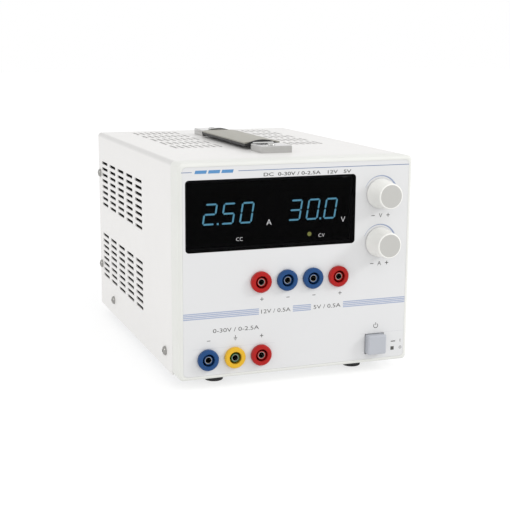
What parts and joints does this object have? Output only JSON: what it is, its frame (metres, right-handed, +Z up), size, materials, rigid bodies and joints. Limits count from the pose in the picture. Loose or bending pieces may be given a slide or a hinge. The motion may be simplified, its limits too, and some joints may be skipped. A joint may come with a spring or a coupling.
{
  "type": "bench power supply",
  "caption": "Bench power supply: vented steel case, moulded front with a dark meter window, output sockets, two control knobs, a square power button and a strap handle.",
  "frame": {"origin": "centre of the bottom of the whole object, on the plane the feet stand on", "axes": "+X to the right seen from the front, +Y towards the back, +Z up"},
  "size_m": [0.1742, 0.2796, 0.1622],
  "materials": {
    "bezel_plastic": "fine-textured ivory white ABS",
    "overlay_print": "satin light grey-white printed film",
    "smoked_window": "polished near-black acrylic filter",
    "zinc_steel": "passivated zinc plate",
    "case_paint": "fine orange-peel off-white powder coat",
    "foot_rubber": "matte black",
    "blue_plastic": "semi-gloss blue polyamide",
    "red_plastic": "semi-gloss red polyamide",
    "yellow_plastic": "semi-gloss yellow polyamide",
    "green_plastic": "semi-gloss green polyamide",
    "contact_metal": "nickel-plated brass",
    "knob_plastic": "satin cream plastic",
    "knob_cap_plastic": "satin warm grey plastic",
    "shaft_aluminium": "turned",
    "button_plastic": "satin blue-grey plastic",
    "black_plastic": "fine-textured black",
    "meter_plastic": "matte black faces",
    "red_lens": "diffused red",
    "green_lens": "diffused yellow-green",
    "board_laminate": "green solder mask",
    "capacitor_sleeve": "shrunk dark blue sleeve",
    "relay_plastic": "blue moulding",
    "black_anodised": "black anodised extrusion",
    "core_steel": "varnished laminations",
    "winding_tape": "yellow polyester tape over copper",
    "fuse_glass": "clear",
    "chrome_plate": "bright chrome",
    "spring_steel": "nickel-plated spring steel",
    "grip_black": "black moulding",
    "grip_grey": "satin grey moulding",
    "screw_steel": "zinc plated"
  },
  "bodies": {
    "case": {"front_bezel": "bezel_plastic", "front_overlay": "overlay_print", "display_window": "smoked_window", "front_plate": "zinc_steel", "base_chassis": "zinc_steel", "rear_panel": "case_paint", "cover": "case_paint", "feet": "foot_rubber", "output_negative_socket": "blue_plastic", "output_positive_socket": "red_plastic", "fixed_12v_positive_socket": "red_plastic", "fixed_12v_negative_socket": "blue_plastic", "fixed_5v_negative_socket": "blue_plastic", "fixed_5v_positive_socket": "red_plastic", "earth_socket": "yellow_plastic", "earth_socket_core": "green_plastic", "socket_contacts": "contact_metal", "socket_nuts": "contact_metal", "voltage_potentiometer": "zinc_steel", "current_potentiometer": "zinc_steel", "control_nuts": "contact_metal", "power_switch": "black_plastic", "current_meter": "meter_plastic", "voltage_meter": "meter_plastic", "constant_current_led": "red_lens", "constant_voltage_led": "green_lens", "display_board": "board_laminate", "main_board": "board_laminate", "standoffs": "contact_metal", "filter_capacitors": "capacitor_sleeve", "relays": "relay_plastic", "bridge_rectifier": "black_plastic", "regulator_heatsink": "black_anodised", "transformer_core": "core_steel", "transformer_winding": "winding_tape", "transformer_clamp": "zinc_steel", "heatsink": "black_anodised", "pass_transistors": "black_plastic", "mains_inlet": "black_plastic", "inlet_pins": "contact_metal", "front_handle_bracket": "chrome_plate", "rear_handle_bracket": "chrome_plate", "cover_screws": "chrome_plate", "chassis_screws": "screw_steel", "panel_screws": "screw_steel", "foot_screws": "screw_steel", "handle_screws": "screw_steel"},
    "voltage_control": {"voltage_knob": "knob_plastic", "voltage_knob_cap": "knob_cap_plastic", "voltage_shaft": "shaft_aluminium"},
    "current_control": {"current_knob": "knob_plastic", "current_knob_cap": "knob_cap_plastic", "current_shaft": "shaft_aluminium"},
    "button": {"power_button": "button_plastic"},
    "drawer": {"fuse_drawer": "black_plastic", "fuse": "fuse_glass"},
    "handle": {"handle_strap": "spring_steel", "handle_grip_base": "grip_black", "handle_grip": "grip_grey"}
  },
  "joints": [
    {"name": "voltage_turn", "type": "hinge", "parent": "case", "child": "voltage_control", "pos_m": [0.0609, -0.12325, 0.1296], "axis": [0, 1, 0], "range_deg": [-150, 150]},
    {"name": "current_turn", "type": "hinge", "parent": "case", "child": "current_control", "pos_m": [0.0609, -0.12325, 0.0954], "axis": [0, 1, 0], "range_deg": [-150, 150]},
    {"name": "button_press", "type": "slide", "parent": "case", "child": "button", "axis": [0, 1, 0], "range_m": [0, 0.004], "stiffness_N_per_m": 300, "springref_m": -0.002},
    {"name": "drawer_pull", "type": "slide", "parent": "case", "child": "drawer", "axis": [0, 1, 0], "range_m": [0, 0.016]},
    {"name": "handle_lift", "type": "slide", "parent": "case", "child": "handle", "axis": [0, 0, 1], "range_m": [0, 0.0015]}
  ]
}
